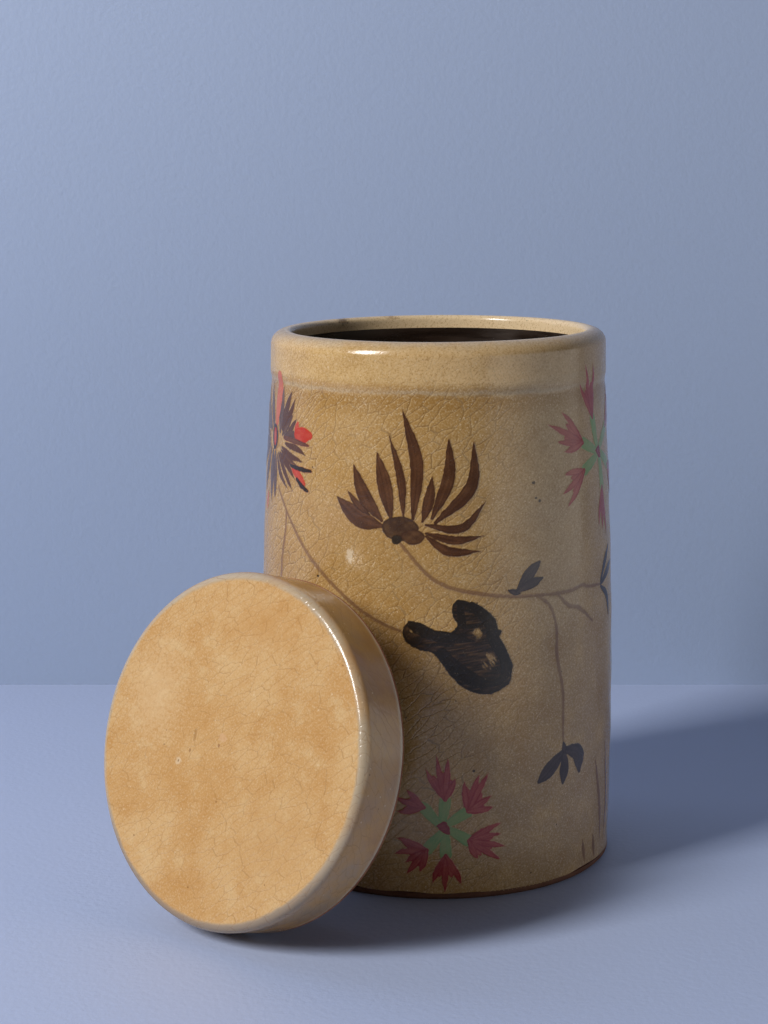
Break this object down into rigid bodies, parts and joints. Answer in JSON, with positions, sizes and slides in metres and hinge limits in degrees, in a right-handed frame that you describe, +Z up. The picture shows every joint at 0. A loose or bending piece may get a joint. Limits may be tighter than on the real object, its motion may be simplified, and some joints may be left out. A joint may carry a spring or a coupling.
{
  "type": "lidded storage jar",
  "caption": "Straight sided crackle glazed stoneware storage jar with painted flowers, and its flat flanged lid leaning against it.",
  "frame": {"origin": "on the table under the middle of the jar's foot", "axes": "+Z up along the jar's axis, out of its mouth; the side with the brown chrysanthemum faces -Y"},
  "size_m": [0.1973, 0.2125, 0.21],
  "materials": {
    "fired_clay": "unglazed reddish stoneware clay, dry and matt",
    "ochre_crackle_glaze": "warm ochre glaze with fine brown crackle and pale specks",
    "dark_inner_glaze": "thin dark brown glaze inside",
    "lid_crackle_glaze": "light golden tan glaze with diagonal crackle and brown pinholes",
    "brown_enamel": "dark reddish brown overglaze enamel",
    "grey_purple_enamel": "greyed purple brown overglaze enamel",
    "red_enamel": "bright red overglaze enamel",
    "crimson_enamel": "crimson overglaze enamel",
    "green_enamel": "soft green overglaze enamel",
    "black_enamel": "streaky near black overglaze enamel",
    "purple_enamel": "dark purple brown overglaze enamel",
    "brown_line_enamel": "thin brown overglaze lines"
  },
  "bodies": {
    "jar": {"jar_body": "fired_clay", "jar_glaze": "ochre_crackle_glaze", "jar_lining": "dark_inner_glaze", "painted_chrysanthemum": "brown_enamel", "painted_spider_flower": "grey_purple_enamel", "painted_spider_touches": "red_enamel", "low_aster_petals": "crimson_enamel", "low_aster_arms": "green_enamel", "high_aster_petals": "crimson_enamel", "high_aster_arms": "green_enamel", "painted_gourd": "black_enamel", "painted_buds": "purple_enamel", "painted_grass": "brown_line_enamel", "painted_stems": "brown_line_enamel", "back_chrysanthemum": "brown_enamel", "back_aster_petals": "crimson_enamel", "back_aster_arms": "green_enamel", "back_stem": "brown_line_enamel"},
    "lid": {"lid_body": "fired_clay", "lid_glaze": "lid_crackle_glaze"}
  },
  "joints": [
    {"name": "lid_tip", "type": "hinge", "parent": "jar", "child": "lid", "pos_m": [-0.08626, -0.10953, 0.00454], "axis": [0.7615, -0.6481, 0], "range_deg": [0, 106]}
  ]
}
